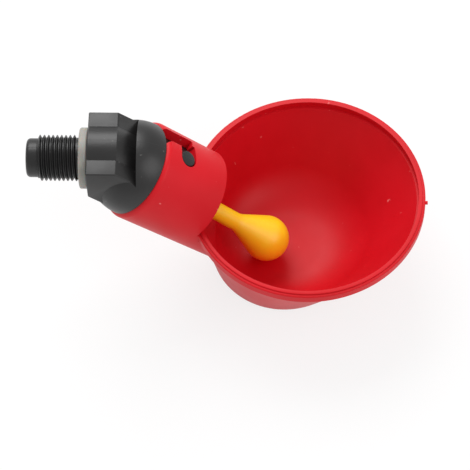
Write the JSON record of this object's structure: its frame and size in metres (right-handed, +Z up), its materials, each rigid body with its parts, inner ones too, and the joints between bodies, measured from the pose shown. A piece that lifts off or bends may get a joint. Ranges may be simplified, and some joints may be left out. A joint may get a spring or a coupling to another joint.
{
  "type": "poultry drinking cup",
  "caption": "Moulded drinking cup for poultry on a sloping neck, hung by a bayonet from a threaded elbow whose ball-ended trigger opens a small water valve.",
  "frame": {"origin": "on the thread's axis at the free face of the washer, where the fitting it is screwed into seats", "axes": "-X along the thread out of the elbow, +X towards the bowl, +Z up in use, XZ the plane of symmetry of the mouldings"},
  "size_m": [0.0847, 0.0504, 0.0435],
  "materials": {
    "red_plastic": "smooth moulded polypropylene",
    "black_plastic": "satin moulded plastic",
    "yellow_plastic": "smooth moulded plastic",
    "white_plastic": "natural acetal",
    "washer_rubber": "translucent silicone",
    "seal_rubber": "black rubber",
    "spring_steel": "bright stainless wire"
  },
  "bodies": {
    "connector": {"connector": "black_plastic", "thread_washer": "washer_rubber", "seat_bush": "white_plastic", "seat_seal": "seal_rubber"},
    "cup": {"cup": "red_plastic"},
    "valve_spring": {"valve_spring": "spring_steel"},
    "trigger": {"trigger": "yellow_plastic"}
  },
  "joints": [
    {"name": "cup_twist", "type": "hinge", "parent": "connector", "child": "cup", "pos_m": [0.01144, 0, -0.00381], "axis": [0.7431, 0, -0.6691], "range_deg": [0, 14]},
    {"name": "trigger_sway", "type": "hinge", "parent": "connector", "child": "valve_spring", "pos_m": [0.01545, 0, -0.00743], "axis": [0.6691, 0, 0.7431], "range_deg": [-7, 14], "stiffness_Nm_per_rad": 0.08, "deforming": ["valve_spring"]},
    {"name": "trigger_tilt", "type": "hinge", "parent": "valve_spring", "child": "trigger", "pos_m": [0.01545, 0, -0.00743], "axis": [0, 1, 0], "range_deg": [-10, 1.5], "stiffness_Nm_per_rad": 0.08}
  ]
}
